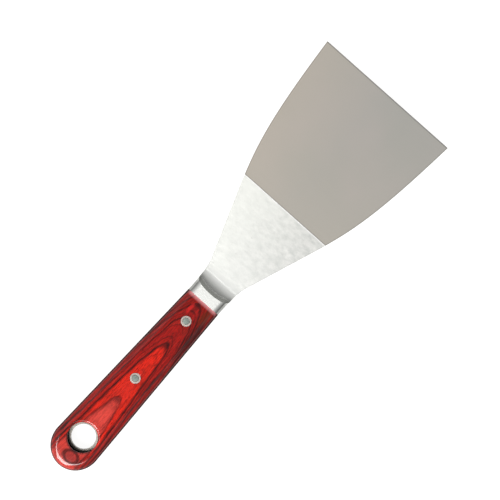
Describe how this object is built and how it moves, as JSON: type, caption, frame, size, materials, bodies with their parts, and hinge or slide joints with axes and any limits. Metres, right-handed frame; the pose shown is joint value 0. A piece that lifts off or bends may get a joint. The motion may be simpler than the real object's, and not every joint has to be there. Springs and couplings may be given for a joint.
{
  "type": "drywall taping knife",
  "caption": "Flat taping knife with a flared, taper-ground steel blade, a bolster and full tang, riveted laminated wood scales and a hanging hole.",
  "frame": {"origin": "middle of the bounding box's bottom: half way along the knife, on its centre line, in the plane of the back scale's outer face", "axes": "+X from the handle's butt to the blade's cutting edge, +Y across the blade, +Z out of the front scale's face"},
  "size_m": [0.23, 0.075, 0.013],
  "materials": {
    "blade_steel": "satin on the flat blade, mirror polished on the bolster and on the taper-ground face",
    "red_wood": "laminated hardwood dyed red, with dark grain lines, under gloss lacquer",
    "rivet_pin_metal": "ground flush, satin",
    "rivet_sleeve_metal": "ground flush, polished"
  },
  "bodies": {
    "root": {"blade_and_tang": "blade_steel", "front_scale": "red_wood", "back_scale": "red_wood", "rear_rivet_pin": "rivet_pin_metal", "rear_rivet_sleeve": "rivet_sleeve_metal", "front_rivet_pin": "rivet_pin_metal", "front_rivet_sleeve": "rivet_sleeve_metal"}
  },
  "joints": []
}
